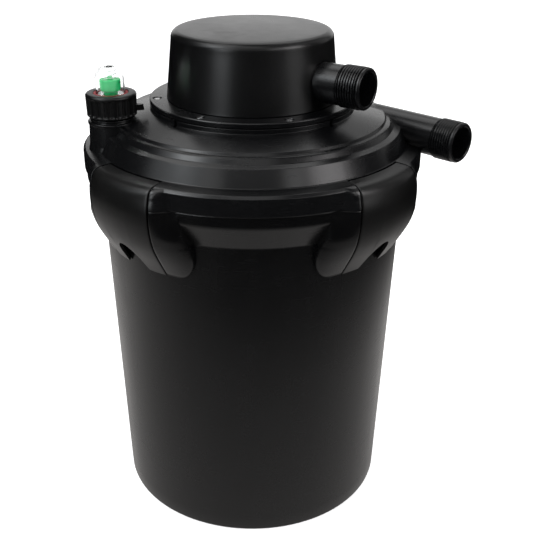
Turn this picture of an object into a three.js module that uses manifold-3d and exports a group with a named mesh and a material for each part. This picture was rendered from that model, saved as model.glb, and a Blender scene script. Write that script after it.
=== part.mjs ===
// Pressurized pond filter: tub, clamp-on lid, ultraviolet head, outlet, cleaning indicator and filter media.
// Millimetres, +Z up, origin at the middle of the tub's flat underside, front towards -Y.
// An azimuth is counted from the front (-Y), positive towards +X.
import * as THREE from "three";
import { mergeVertices } from "three/addons/utils/BufferGeometryUtils.js";
import Module from "manifold-3d";

// ---- driving dimensions ----
const GAP = 0.3; // clearance between pieces that touch
const LARGE_SIDES = 48; // facets round the large turned pieces
const SMALL_SIDES = 20; // facets round pipes, necks and caps
const FINE_SIDES = 12; // facets round screws and pins

const TUB = { baseR: 165.2, topR: 177.5, topZ: 385, floor: 4.5, boreR: 173.2, edge: 3 };
const FLANGE = { r: 194, z: 415 };
const PARTING_Z = 426.7;
const SKIRT = { r: 196, chamfer: 2.8, wall: 4 };
const SHELF = { outerZ: 449.2, innerR: 179.5, innerZ: 450.9 };
const SHOULDER = { footR: 170.2, footZ: 468.6, topR: 153.6, topZ: 478.5 };
const COLLAR = { r: 117.7, lowZ: 488.5, topZ: 493.4, openingR: 62 };
const SPIGOT = { outerR: 172.7, innerR: 168.5, lowZ: 411, grooveR: 169.6, grooveZ: [416, 420.2] };

const HEAD = { r: 117.7, lowZ: 494, topZ: 500, chamberR: 44, chamberTopZ: 556, wall: 4, spoutR: 33, spoutZ: 450 };
const DOME = { baseR: 98, topR: 91.2, lowZ: 500.3, shoulderZ: 567.5, fillet: 8, wall: 3.6, topZ: 576 };
const HEAD_SCREWS = { count: 7, first: 20, circleR: 109, headR: 4.4, shankR: 2, lowZ: 486.5, headH: 2 };
const COUNTERBORE = { r: 5.3, z: 497.4 };
const COLLAR_NOTCHES = { azimuths: [45, 135, 225, 315], width: 4, depth: 2.5 };

const NOZZLE = { pipeR: 21.6, boreR: 18.2, threadR: 22.9, rootR: 21.9, lip: 5, pitch: 3.3, ridges: 7 };
const INLET = { azimuth: 54, z: 527.5, length: 148.5 };
const OUTLET = { azimuth: 45, z: 460, offset: 121, start: 88, length: 206.5 };

const POD = { azimuths: [-45, 45, 135, -135], halfAngle: 13.2, seam: 0.22, thickness: 3.5, bottomR: 178, bottomZ: 343.5 };
POD.bulgeR = 207.8;
POD.bulgeZ = 418;
const HINGE = { r: 185, z: 446, pinR: 1.6, pinHalf: 52, knuckleR: 4.1, knuckleHalf: 40.5 };

const INDICATOR = { x: -157, y: -36, bossR: 27, bossZ: 479, neckR: 21, neckZ: 503 };
const NUT = { r: 28.4, ribDepth: 1.1, ribs: 24, lowZ: 488, topZ: 513, lipZ: 507, boreR: 21.8, lipR: 19.6 };
const CAP = { r: 16.5, wall: 2, flangeR: 21, lowZ: 503.4, flangeZ: 506.6, topZ: 541, corner: 7 };
const FLOAT = { r: 11.5, stemR: 8, stemZ: 503.6, lowZ: 515, topZ: 528 };

const CENTRE_TUBE = { outerR: 37, innerR: 33.4, lowZ: 4.8, topZ: 475 };
const GRID = { thickness: 6, lowerZ: 40, upperZ: 352, slots: 16 };
const FOAM = { gapZ: 1, height: 76, clearR: 2.2 };
const SLEEVE = { r: 12, wall: 1.6, lowZ: 150, topZ: 560 };

// ---- solids: three.js makes each shape, manifold-3d joins and cuts them ----
const wasm = await Module();
wasm.setup();

function toSolid(geometry) {
  const bare = geometry.index ? geometry.toNonIndexed() : geometry.clone();
  bare.deleteAttribute("normal");
  bare.deleteAttribute("uv");
  const merged = mergeVertices(bare, 1e-4);
  return new wasm.Manifold(
    new wasm.Mesh({
      numProp: 3,
      vertProperties: merged.attributes.position.array,
      triVerts: merged.index.array,
    }),
  );
}

function toGeometry(solid) {
  const mesh = solid.simplify(0.01).getMesh();
  const geometry = new THREE.BufferGeometry();
  geometry.setAttribute("position", new THREE.BufferAttribute(mesh.vertProperties, 3));
  geometry.setIndex(new THREE.BufferAttribute(mesh.triVerts, 1));
  return geometry;
}

function join(...geometries) {
  return toGeometry(geometries.map(toSolid).reduce((all, next) => all.add(next)));
}

function cut(base, ...tools) {
  return toGeometry(tools.map(toSolid).reduce((all, tool) => all.subtract(tool), toSolid(base)));
}

// A closed outline of [radius, height] points, listed anticlockwise, turned about the Z axis.
function revolve(outline, sides = LARGE_SIDES) {
  const points = outline.map(([r, z]) => new THREE.Vector2(r, z));
  const onAxis = outline[0][0] === 0 && outline.at(-1)[0] === 0;
  if (!onAxis) points.push(points[0].clone());
  return new THREE.LatheGeometry(points, sides).rotateX(Math.PI / 2);
}

function ring(outerR, innerR, lowZ, highZ, sides = LARGE_SIDES) {
  return revolve([[outerR, lowZ], [outerR, highZ], [innerR, highZ], [innerR, lowZ]], sides);
}

function disc(r, lowZ, highZ, sides = LARGE_SIDES) {
  return revolve([[0, lowZ], [r, lowZ], [r, highZ], [0, highZ]], sides);
}

function box(sizeX, sizeY, sizeZ, x, y, z) {
  return new THREE.BoxGeometry(sizeX, sizeY, sizeZ).translate(x, y, z);
}

const radians = THREE.MathUtils.degToRad;

// Turns a shape built at azimuth 0 (towards -Y) round to another azimuth.
function atAzimuth(geometry, degrees) {
  return geometry.rotateZ(radians(degrees));
}

// Lays a shape turned about Z along -Y, so that its +Z end points to the front.
function laidForward(geometry) {
  return geometry.rotateX(Math.PI / 2);
}

function cylindrical(r, degrees, z) {
  return new THREE.Vector3(r * Math.sin(radians(degrees)), -r * Math.cos(radians(degrees)), z);
}

// A solid through matching outlines, one per station. Each outline is a list of
// { r, z, azimuth }, anticlockwise in (r, z), and the stations go round by rising azimuth.
function loft(stations) {
  const count = stations[0].length;
  const positions = stations.flat().flatMap((p) => cylindrical(p.r, p.azimuth, p.z).toArray());
  const index = [];
  for (let s = 0; s < stations.length - 1; s++)
    for (let i = 0; i < count; i++) {
      const a = s * count + i;
      const b = s * count + ((i + 1) % count);
      index.push(a, a + count, b + count, a, b + count, b);
    }
  const last = (stations.length - 1) * count;
  const flat = (outline) => outline.map((p) => new THREE.Vector2(p.r, p.z));
  for (const [a, b, c] of THREE.ShapeUtils.triangulateShape(flat(stations[0]), []))
    index.push(a, b, c);
  for (const [a, b, c] of THREE.ShapeUtils.triangulateShape(flat(stations.at(-1)), []))
    index.push(last + c, last + b, last + a);
  const geometry = new THREE.BufferGeometry();
  geometry.setAttribute("position", new THREE.Float32BufferAttribute(positions, 3));
  return geometry.setIndex(index);
}

// Part of a turned ring, between two azimuths.
function sector(outline, from, to, steps) {
  const stations = Array.from({ length: steps + 1 }, (_, s) =>
    outline.map(([r, z]) => ({ r, z, azimuth: from + ((to - from) * s) / steps })),
  );
  return loft(stations);
}

// An outline in (sideways, height), pushed outwards from one radius to another at azimuth 0.
function radialPrism(shape, fromR, toR, curveSegments = 8) {
  return new THREE.ExtrudeGeometry(shape, { depth: toR - fromR, bevelEnabled: false, curveSegments })
    .rotateX(Math.PI / 2)
    .translate(0, -fromR, 0);
}

// ---- latch pods: the swelling profile that covers and horns share ----
const podCurve = (() => {
  const lower = new THREE.CubicBezierCurve(
    new THREE.Vector2(POD.bottomR, POD.bottomZ),
    new THREE.Vector2(190, 362),
    new THREE.Vector2(POD.bulgeR, 390),
    new THREE.Vector2(POD.bulgeR, POD.bulgeZ),
  ).getPoints(6);
  const upper = new THREE.CubicBezierCurve(
    new THREE.Vector2(POD.bulgeR, POD.bulgeZ),
    new THREE.Vector2(POD.bulgeR, 434),
    new THREE.Vector2(203, SHELF.outerZ),
    new THREE.Vector2(195, SHELF.outerZ),
  ).getPoints(5);
  return [...lower, ...upper.slice(1)].map((p) => [p.x, p.y]);
})();

const coneSlope = (FLANGE.r - TUB.topR) / (FLANGE.z - TUB.topZ);
const wallSlope = (TUB.topR - TUB.baseR) / TUB.topZ;

// Outer radius of the tub and lid behind a pod, at a height.
function bodyRadius(z) {
  if (z > FLANGE.z) return FLANGE.r;
  if (z > TUB.topZ) return TUB.topR + coneSlope * (z - TUB.topZ);
  return TUB.baseR + wallSlope * z;
}

// How far round a horn reaches beyond the pod's middle, at a height.
function hornReach(z) {
  const table = [[343, 20.3], [368, 24.4], [400, 22.4], [430, 18.8], [450, 17.0]];
  const above = table.findIndex(([height]) => height >= z);
  if (above <= 0) return table[0][1];
  const [z0, a0] = table[above - 1];
  const [z1, a1] = table[above];
  return a0 + ((a1 - a0) * (z - z0)) / (z1 - z0);
}

// One horn, the rounded rib beside a latch cover, on the side of rising or falling azimuth.
function horn(podAzimuth, side) {
  const start = POD.halfAngle + POD.seam;
  const shares = [0, 0.5, 0.8, 1];
  const stations = shares.map((share) => {
    const swell = 1 - share ** 3.2;
    const around = (z) => podAzimuth + side * (start + share * (hornReach(z) - start));
    const outer = podCurve.map(([r, z]) => {
      const root = bodyRadius(z) - 1;
      return { r: root + Math.max(swell, 0.02) * (r - root), z, azimuth: around(z) };
    });
    const inner = podCurve
      .map(([, z]) => ({ r: bodyRadius(z) - 2.8, z, azimuth: around(z) }))
      .reverse();
    return [...outer, ...inner];
  });
  return loft(side > 0 ? stations : stations.reverse());
}

function horns() {
  return POD.azimuths.flatMap((azimuth) => [horn(azimuth, 1), horn(azimuth, -1)]);
}

// A rod across a pod, along the latch's hinge axis.
function hingeRod(azimuth, r, half, sides = FINE_SIDES) {
  const rod = disc(r, -half, half, sides).rotateY(Math.PI / 2).translate(0, -HINGE.r, HINGE.z);
  return atAzimuth(rod, azimuth);
}

const everythingAbove = () => box(600, 600, 400, 0, 0, PARTING_Z - GAP + 200);
const everythingBelow = () => box(600, 600, 500, 0, 0, PARTING_Z + GAP - 250);

// ---- pipes with a threaded end ----
// Profile of a pipe from its start to its end face, turned about Z.
function nozzle(start, length, sides = SMALL_SIDES) {
  const threadStart = length - NOZZLE.lip - NOZZLE.ridges * NOZZLE.pitch;
  const outline = [[NOZZLE.pipeR, start], [NOZZLE.pipeR, threadStart]];
  for (let ridge = 0; ridge < NOZZLE.ridges; ridge++) {
    const z = threadStart + ridge * NOZZLE.pitch;
    outline.push([NOZZLE.rootR, z + 0.4], [NOZZLE.threadR, z + 1.6], [NOZZLE.rootR, z + 2.8]);
  }
  outline.push([NOZZLE.threadR - 0.3, length - NOZZLE.lip], [NOZZLE.threadR - 0.3, length]);
  outline.push([NOZZLE.boreR, length], [NOZZLE.boreR, start]);
  return revolve(outline, sides);
}

function onInlet(geometry) {
  return atAzimuth(laidForward(geometry).translate(0, 0, INLET.z), INLET.azimuth);
}

// The outlet runs past the axis, `offset` to the right of it when seen along the flow.
function onOutlet(geometry) {
  return atAzimuth(laidForward(geometry).translate(OUTLET.offset, 0, OUTLET.z), OUTLET.azimuth);
}

// ---- tub ----
function makeTub() {
  const shell = revolve([
    [0, 0],
    [TUB.baseR - TUB.edge, 0],
    [TUB.baseR, TUB.edge],
    [TUB.topR, TUB.topZ],
    [FLANGE.r, FLANGE.z],
    [FLANGE.r, PARTING_Z - GAP],
    [TUB.boreR, PARTING_Z - GAP],
    [TUB.boreR, TUB.topZ],
    [TUB.baseR - 4, TUB.floor],
    [0, TUB.floor],
  ]);
  return cut(join(shell, ...horns()), everythingAbove(), hollowOfTub());
}

// The tub's inside, used to trim the horns' roots off it.
function hollowOfTub() {
  return revolve([
    [0, TUB.floor],
    [TUB.baseR - 4, TUB.floor],
    [TUB.boreR, TUB.topZ],
    [TUB.boreR, PARTING_Z + 20],
    [0, PARTING_Z + 20],
  ]);
}

// ---- lid ----
function lidShell() {
  const low = PARTING_Z + GAP;
  return revolve([
    [SKIRT.r, low],
    [SKIRT.r, SHELF.outerZ - SKIRT.chamfer],
    [SKIRT.r - SKIRT.chamfer, SHELF.outerZ],
    [SHELF.innerR, SHELF.innerZ],
    [SHOULDER.footR, SHOULDER.footZ],
    [157, 476.5],
    [SHOULDER.topR, SHOULDER.topZ],
    [COLLAR.r, COLLAR.lowZ - 0.5],
    [COLLAR.r, COLLAR.topZ],
    [90, COLLAR.topZ],
    [90, COLLAR.topZ - 2.4],
    [84, COLLAR.topZ - 2.4],
    [84, COLLAR.topZ],
    [COLLAR.openingR, COLLAR.topZ],
    [COLLAR.openingR, COLLAR.topZ - 6],
    [112, 483.5],
    [150, 474.6],
    [166.6, 465.2],
    [SPIGOT.innerR, 446],
    [SPIGOT.innerR, SPIGOT.lowZ],
    [SPIGOT.outerR, SPIGOT.lowZ],
    [SPIGOT.outerR, SPIGOT.grooveZ[0]],
    [SPIGOT.grooveR, SPIGOT.grooveZ[0]],
    [SPIGOT.grooveR, SPIGOT.grooveZ[1]],
    [SPIGOT.outerR, SPIGOT.grooveZ[1]],
    [SPIGOT.outerR, low],
    [176.5, low],
    [176.5, 442.4],
    [SKIRT.r - SKIRT.wall, 442],
    [SKIRT.r - SKIRT.wall, low],
  ]);
}

function latchRecess(azimuth) {
  const half = POD.halfAngle + POD.seam;
  const outline = [[179.6, 420], [215, 420], [215, 452.2], [179.6, 452.2]];
  return sector(outline, azimuth - half, azimuth + half, 4);
}

function collarNotch(azimuth) {
  const notch = box(
    COLLAR_NOTCHES.width,
    COLLAR_NOTCHES.depth * 2,
    COLLAR.topZ - COLLAR.lowZ + 3,
    0,
    -COLLAR.r,
    (COLLAR.topZ + COLLAR.lowZ + 2) / 2,
  );
  return atAzimuth(notch, azimuth);
}

function indicatorBoss() {
  const { bossR, bossZ, neckR, neckZ } = INDICATOR;
  const outline = [[0, 449.5], [bossR, 449.5], [bossR, bossZ - 2], [bossR - 2, bossZ]];
  outline.push([neckR - 0.8, bossZ], [neckR - 0.8, bossZ + 1.5]);
  for (let ridge = 0; ridge < 3; ridge++) {
    const z = bossZ + 2 + ridge * 4;
    outline.push([neckR, z + 0.5], [neckR, z + 1.9], [neckR - 0.8, z + 2.4], [neckR - 0.8, z + 3.4]);
  }
  outline.push([neckR - 0.8, neckZ], [0, neckZ]);
  return revolve(outline, SMALL_SIDES).translate(INDICATOR.x, INDICATOR.y, 0);
}

function headScrewAzimuths() {
  const { count, first } = HEAD_SCREWS;
  return Array.from({ length: count }, (_, k) => first + (k * 360) / count);
}

function atScrew(geometry, azimuth) {
  return atAzimuth(geometry.translate(0, -HEAD_SCREWS.circleR, 0), azimuth);
}

function screwHole(azimuth) {
  const hole = disc(HEAD_SCREWS.shankR + GAP, HEAD_SCREWS.lowZ - GAP, HEAD.topZ + 1, FINE_SIDES);
  return atScrew(hole, azimuth);
}

function counterbore(azimuth) {
  return atScrew(disc(COUNTERBORE.r, COUNTERBORE.z, HEAD.topZ + 1, FINE_SIDES), azimuth);
}

function makeLid() {
  const solidLid = join(
    lidShell(),
    ...horns().map((one) => cut(one, everythingBelow())),
    indicatorBoss(),
    onOutlet(nozzle(OUTLET.start, OUTLET.length)),
  );
  return cut(
    solidLid,
    onOutlet(disc(NOZZLE.boreR, OUTLET.start - 30, OUTLET.length + 5, SMALL_SIDES)),
    disc(5, 430, INDICATOR.neckZ + 1, FINE_SIDES).translate(INDICATOR.x, INDICATOR.y, 0),
    ...POD.azimuths.map(latchRecess),
    ...POD.azimuths.map((azimuth) => hingeRod(azimuth, HINGE.pinR + GAP, HINGE.pinHalf + 1)),
    ...COLLAR_NOTCHES.azimuths.map(collarNotch),
    ...headScrewAzimuths().map(screwHole),
  );
}

// ---- latch covers ----
function fingerNotch() {
  const shape = new THREE.Shape();
  shape.moveTo(-16, 330);
  shape.lineTo(16, 330);
  shape.lineTo(16, 342);
  shape.quadraticCurveTo(9, 368, 0, 373);
  shape.quadraticCurveTo(-9, 368, -16, 342);
  return radialPrism(shape, 165, 220, 4);
}

function makeLatchCover(azimuth) {
  const half = POD.halfAngle - POD.seam;
  const outer = [...podCurve, [182, 450.4]];
  const inner = outer.map(([r, z], i) => {
    const [r0, z0] = outer[Math.max(i - 1, 0)];
    const [r1, z1] = outer[Math.min(i + 1, outer.length - 1)];
    const inward = POD.thickness / Math.hypot(r1 - r0, z1 - z0);
    return [r - (z1 - z0) * inward, z + (r1 - r0) * inward];
  });
  inner[0] = [bodyRadius(POD.bottomZ) + 0.4, POD.bottomZ + 1.6];
  const shell = sector([...outer, ...inner.reverse()], -half, half, 4);
  const hook = sector(
    [[186, 394], [204, 391], [207, 401], [206.4, 409], [192.8, 411.5], [186, 399.5]],
    -half + 2,
    half - 2,
    4,
  );
  const knuckle = hingeRod(0, HINGE.knuckleR, HINGE.knuckleHalf);
  const cover = cut(join(shell, hook, knuckle), fingerNotch(), hingeRod(0, HINGE.pinR + GAP, 60));
  return atAzimuth(cover, azimuth);
}

// ---- head ----
function makeHeadBody() {
  const { r, lowZ, topZ, chamberR, chamberTopZ, wall, spoutR, spoutZ } = HEAD;
  const holeR = SLEEVE.r + GAP;
  const chamber = revolve(
    [
      [spoutR, spoutZ],
      [spoutR, lowZ],
      [r, lowZ],
      [r, topZ],
      [chamberR, topZ],
      [chamberR, chamberTopZ],
      [holeR, chamberTopZ],
      [holeR, chamberTopZ - wall],
      [chamberR - wall, chamberTopZ - wall],
      [chamberR - wall, topZ],
      [spoutR - wall, lowZ],
      [spoutR - wall, spoutZ],
    ],
    LARGE_SIDES,
  );
  const bore = onInlet(disc(NOZZLE.boreR, chamberR - 12, INLET.length + 5, SMALL_SIDES));
  return cut(
    join(chamber, onInlet(nozzle(chamberR - 3, INLET.length))),
    bore,
    ...headScrewAzimuths().map(screwHole),
    ...headScrewAzimuths().map(counterbore),
  );
}

function makeDomeCover() {
  const { baseR, topR, lowZ, shoulderZ, fillet, wall, topZ } = DOME;
  const arc = Array.from({ length: 4 }, (_, i) => {
    const turn = radians((i + 1) * 22.5);
    return [topR - fillet + fillet * Math.cos(turn), shoulderZ + fillet * Math.sin(turn)];
  });
  const shell = revolve([
    [0, topZ - wall],
    [topR - fillet, shoulderZ + fillet - wall],
    [topR - wall, shoulderZ],
    [baseR - wall, lowZ],
    [baseR, lowZ],
    [topR, shoulderZ],
    ...arc,
    [0, topZ],
  ]);
  const arch = new THREE.Shape();
  arch.moveTo(-24, lowZ - 2);
  arch.lineTo(24, lowZ - 2);
  arch.lineTo(24, INLET.z);
  arch.absarc(0, INLET.z, 24, 0, Math.PI, false);
  const archCut = atAzimuth(radialPrism(arch, 60, 120, 12), INLET.azimuth);
  return cut(shell, archCut, onGland(disc(6.3, -12, 12, FINE_SIDES)));
}

const GLAND = { azimuth: 234, r: 95, z: 514 };

function onGland(geometry) {
  return atAzimuth(laidForward(geometry).translate(0, -GLAND.r, GLAND.z), GLAND.azimuth);
}

function makeCableGland() {
  return onGland(
    revolve(
      [[6, -7], [6, 3.4], [9, 3.6], [9, 8.5], [7, 8.8], [6, 16], [3.6, 16], [3.6, -7]],
      FINE_SIDES,
    ),
  );
}

function makeHeadScrew(azimuth) {
  const { headR, shankR, lowZ, headH } = HEAD_SCREWS;
  const seat = COUNTERBORE.z + GAP;
  const outline = [[0, lowZ], [shankR, lowZ], [shankR, seat], [headR, seat]];
  outline.push([headR, seat + headH * 0.6], [headR * 0.7, seat + headH], [0, seat + headH]);
  return atScrew(revolve(outline, FINE_SIDES), azimuth);
}

// ---- indicator ----
const onIndicator = (geometry) => geometry.translate(INDICATOR.x, INDICATOR.y, 0);

function makeIndicatorNut() {
  const { r, ribDepth, ribs, lowZ, topZ, lipZ, boreR, lipR } = NUT;
  const outline = Array.from({ length: ribs * 2 }, (_, i) => {
    const turn = (Math.PI * i) / ribs;
    const reach = i % 2 ? r - ribDepth : r;
    return new THREE.Vector2(reach * Math.cos(turn), reach * Math.sin(turn));
  });
  const blank = new THREE.ExtrudeGeometry(new THREE.Shape(outline), {
    depth: topZ - lowZ,
    bevelEnabled: false,
  }).translate(0, 0, lowZ);
  const lug = box(12, 8, 6.5, r + 2.8, 0, 496);
  return onIndicator(
    cut(
      join(blank, lug),
      disc(boreR, lowZ - 1, lipZ, SMALL_SIDES),
      disc(lipR, lipZ - 1, topZ + 1, SMALL_SIDES),
    ),
  );
}

function makeIndicatorCap() {
  const { r, wall, flangeR, lowZ, flangeZ, topZ, corner } = CAP;
  const arc = (radius) =>
    Array.from({ length: 4 }, (_, i) => {
      const turn = radians(i * 30);
      return [r - corner + radius * Math.cos(turn), topZ - corner + radius * Math.sin(turn)];
    });
  return onIndicator(
    revolve(
      [
        [r - wall, lowZ],
        [flangeR, lowZ],
        [flangeR, flangeZ],
        [r, flangeZ],
        ...arc(corner),
        [3, topZ],
        [2.4, topZ + 1.2],
        [0, topZ + 1.2],
        [0, topZ - wall],
        ...arc(corner - wall).reverse(),
      ].slice(0, -1).concat([[r - wall, topZ - corner]]),
      SMALL_SIDES,
    ),
  );
}

function makeIndicatorFloat() {
  const { r, stemR, stemZ, lowZ, topZ } = FLOAT;
  return onIndicator(
    revolve(
      [
        [0, stemZ],
        [stemR, stemZ],
        [stemR, lowZ],
        [r - 1, lowZ],
        [r, lowZ + 1],
        [r, topZ - 1],
        [r - 1, topZ],
        [0, topZ],
      ],
      SMALL_SIDES,
    ),
  );
}

class Helix extends THREE.Curve {
  constructor(radius, lowZ, highZ, turns) {
    super();
    Object.assign(this, { radius, lowZ, highZ, turns });
  }

  getPoint(t, target = new THREE.Vector3()) {
    const angle = t * this.turns * Math.PI * 2;
    const z = this.lowZ + t * (this.highZ - this.lowZ);
    return target.set(this.radius * Math.cos(angle), this.radius * Math.sin(angle), z);
  }
}

function makeIndicatorSpring() {
  const section = new THREE.Shape(
    Array.from({ length: 5 }, (_, i) => {
      const turn = (Math.PI * 2 * i) / 5;
      return new THREE.Vector2(0.5 * Math.cos(turn), 0.5 * Math.sin(turn));
    }),
  );
  const path = new Helix(7.5, FLOAT.topZ + 0.9, CAP.topZ - CAP.wall - 0.9, 3);
  const wire = new THREE.ExtrudeGeometry(section, { steps: 42, bevelEnabled: false, extrudePath: path });
  return onIndicator(wire);
}

// ---- media and inner pieces ----
const tubInnerRadius = (z) =>
  TUB.baseR - 4 + ((TUB.boreR - TUB.baseR + 4) * (z - TUB.floor)) / (TUB.topZ - TUB.floor);

function makeGrid(lowZ, feet) {
  const outerR = tubInnerRadius(lowZ) - 1.5;
  const plate = ring(outerR, CENTRE_TUBE.outerR + 1, lowZ, lowZ + GRID.thickness, 48);
  const slots = Array.from({ length: GRID.slots }, (_, k) =>
    atAzimuth(box(12, 78, 20, 0, -102, lowZ), (k * 360) / GRID.slots),
  );
  const legs = feet
    ? Array.from({ length: 4 }, (_, k) => {
        const height = lowZ - TUB.floor - GAP + 1;
        const leg = box(14, 8, height, 0, -outerR + 8, TUB.floor + GAP + height / 2);
        return atAzimuth(leg, 11.25 + k * 90);
      })
    : [];
  return cut(join(plate, ...legs), ...slots);
}

function makeCentreTube() {
  const { outerR, innerR, lowZ, topZ } = CENTRE_TUBE;
  const windows = Array.from({ length: 4 }, (_, k) =>
    atAzimuth(box(22, 30, 20, 0, -35, lowZ + 20), 45 + k * 90),
  );
  return cut(ring(outerR, innerR, lowZ, topZ, 32), ...windows);
}

function makeFoam(level) {
  const lowZ = GRID.lowerZ + GRID.thickness + FOAM.gapZ * (level + 1) + FOAM.height * level;
  return ring(tubInnerRadius(lowZ) - FOAM.clearR, CENTRE_TUBE.outerR + 1, lowZ, lowZ + FOAM.height, 32);
}

function makeQuartzSleeve() {
  const { r, wall, lowZ, topZ } = SLEEVE;
  const bottom = (radius) =>
    [-90, -45, 0].map((degrees) => [
      Math.abs(radius * Math.cos(radians(degrees))) < 1e-6 ? 0 : radius * Math.cos(radians(degrees)),
      lowZ + r + radius * Math.sin(radians(degrees)),
    ]);
  return revolve(
    [...bottom(r), [r, topZ], [r - wall, topZ], ...bottom(r - wall).reverse()],
    16,
  );
}

function makeUvLamp() {
  return revolve(
    [[0, 172], [5, 172], [7.5, 176], [7.5, 545], [9.4, 545], [9.4, 563], [0, 563]],
    16,
  );
}

function makeLampHolder() {
  return revolve([[0, 564], [9.8, 564], [9.8, 561.2], [14, 561.2], [14, 570], [0, 570]], 16);
}

function makeSleeveNut() {
  const seat = HEAD.chamberTopZ + GAP;
  return revolve(
    [[20, seat], [20, 560.7], [12.5, 560.7], [12.5, 558.9], [16.4, 558.9], [16.4, seat]],
    SMALL_SIDES,
  );
}

// ---- materials ----
function plastic(color, roughness) {
  return new THREE.MeshStandardMaterial({ color, roughness, metalness: 0 });
}

const materials = {
  gloss: plastic(0x131416, 0.22),
  satin: plastic(0x17181a, 0.4),
  cover: plastic(0x1c1d20, 0.45),
  ribbed: plastic(0x1a1b1d, 0.5),
  rubber: plastic(0x101010, 0.8),
  redSeal: plastic(0xa03030, 0.5),
  green: plastic(0x0ea558, 0.35),
  white: plastic(0xe8e8e4, 0.5),
  foamBlue: plastic(0x2f6fae, 0.95),
  foamGreen: plastic(0x3f8f5a, 0.95),
  foamDark: plastic(0x3a3d42, 0.95),
  innerPlastic: plastic(0x2a2c30, 0.5),
  clear: new THREE.MeshStandardMaterial({ color: 0xf2f6f4, roughness: 0.05, transparent: true, opacity: 0.3 }),
  quartz: new THREE.MeshStandardMaterial({ color: 0xf4f8fb, roughness: 0.03, transparent: true, opacity: 0.3 }),
  steel: new THREE.MeshStandardMaterial({ color: 0xc9ccd0, roughness: 0.28, metalness: 1 }),
};

// ---- assembly ----
const filter = new THREE.Group();
const tubGroup = new THREE.Group();
const lidGroup = new THREE.Group();
const headGroup = new THREE.Group();
const indicatorGroup = new THREE.Group();
filter.add(tubGroup, lidGroup);
lidGroup.add(headGroup, indicatorGroup);

function add(group, name, geometry, material) {
  const mesh = new THREE.Mesh(geometry, material);
  mesh.name = name;
  group.add(mesh);
}

add(tubGroup, "tub", makeTub(), materials.satin);
add(tubGroup, "centre_tube", makeCentreTube(), materials.innerPlastic);
add(tubGroup, "media_grid_lower", makeGrid(GRID.lowerZ, true), materials.innerPlastic);
add(tubGroup, "media_grid_upper", makeGrid(GRID.upperZ + 2, false), materials.innerPlastic);
add(tubGroup, "foam_coarse", makeFoam(0), materials.foamBlue);
add(tubGroup, "foam_medium", makeFoam(1), materials.foamGreen);
add(tubGroup, "foam_fine", makeFoam(2), materials.foamDark);
add(tubGroup, "bio_media_bed", makeFoam(3), materials.white);

add(lidGroup, "lid", makeLid(), materials.gloss);
add(lidGroup, "lid_seal", ring(172.9, SPIGOT.grooveR + GAP, 416.4, 419.8), materials.rubber);
POD.azimuths.forEach((azimuth, k) => {
  add(lidGroup, "latch_cover_" + (k + 1), makeLatchCover(azimuth), materials.cover);
  add(lidGroup, "latch_pin_" + (k + 1), hingeRod(azimuth, HINGE.pinR, HINGE.pinHalf), materials.steel);
});

add(headGroup, "head_body", makeHeadBody(), materials.gloss);
add(headGroup, "head_seal", ring(89.6, 84.4, 491.3, 493.7, 48), materials.rubber);
add(headGroup, "dome_cover", makeDomeCover(), materials.gloss);
headScrewAzimuths().forEach((azimuth, k) => {
  add(headGroup, "head_screw_" + (k + 1), makeHeadScrew(azimuth), materials.steel);
});
add(headGroup, "quartz_sleeve", makeQuartzSleeve(), materials.quartz);
add(headGroup, "sleeve_seal", ring(16.1, SLEEVE.r + GAP, 556.5, 558.6, SMALL_SIDES), materials.rubber);
add(headGroup, "sleeve_nut", makeSleeveNut(), materials.innerPlastic);
add(headGroup, "uv_lamp", makeUvLamp(), materials.white);
add(headGroup, "lamp_holder", makeLampHolder(), materials.innerPlastic);
add(headGroup, "ballast", atAzimuth(box(60, 28, 42, 0, -66, 522), GLAND.azimuth), materials.innerPlastic);
add(headGroup, "cable_gland", makeCableGland(), materials.rubber);

add(indicatorGroup, "indicator_nut", makeIndicatorNut(), materials.ribbed);
add(indicatorGroup, "indicator_cap", makeIndicatorCap(), materials.clear);
add(indicatorGroup, "indicator_float", makeIndicatorFloat(), materials.green);
add(indicatorGroup, "indicator_spring", makeIndicatorSpring(), materials.steel);
add(
  indicatorGroup,
  "indicator_seal",
  onIndicator(ring(19.2, CAP.r + GAP, 507, 512.6, SMALL_SIDES)),
  materials.redSeal,
);

export default filter;
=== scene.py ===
import math

import bmesh
import bpy
from mathutils import Matrix, Vector


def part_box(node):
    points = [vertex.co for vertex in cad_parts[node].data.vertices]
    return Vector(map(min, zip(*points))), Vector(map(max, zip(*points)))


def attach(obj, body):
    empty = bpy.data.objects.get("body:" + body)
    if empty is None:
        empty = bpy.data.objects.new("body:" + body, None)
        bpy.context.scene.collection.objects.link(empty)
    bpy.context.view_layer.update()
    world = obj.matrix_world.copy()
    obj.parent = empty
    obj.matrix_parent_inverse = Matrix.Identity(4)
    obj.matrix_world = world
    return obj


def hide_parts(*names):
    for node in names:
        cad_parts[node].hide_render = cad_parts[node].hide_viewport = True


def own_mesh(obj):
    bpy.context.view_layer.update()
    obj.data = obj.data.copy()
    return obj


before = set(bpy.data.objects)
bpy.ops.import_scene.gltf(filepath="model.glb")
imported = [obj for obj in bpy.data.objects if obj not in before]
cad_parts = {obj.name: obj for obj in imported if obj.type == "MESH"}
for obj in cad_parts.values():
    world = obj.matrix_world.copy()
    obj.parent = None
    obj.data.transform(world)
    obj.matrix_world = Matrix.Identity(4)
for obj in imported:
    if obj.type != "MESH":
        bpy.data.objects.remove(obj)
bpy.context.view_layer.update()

MM = 0.001
scene = bpy.context.scene


# ---------------------------------------------------------------- camera
CAMERA_AZIMUTH = math.radians(-0.8)


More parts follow.
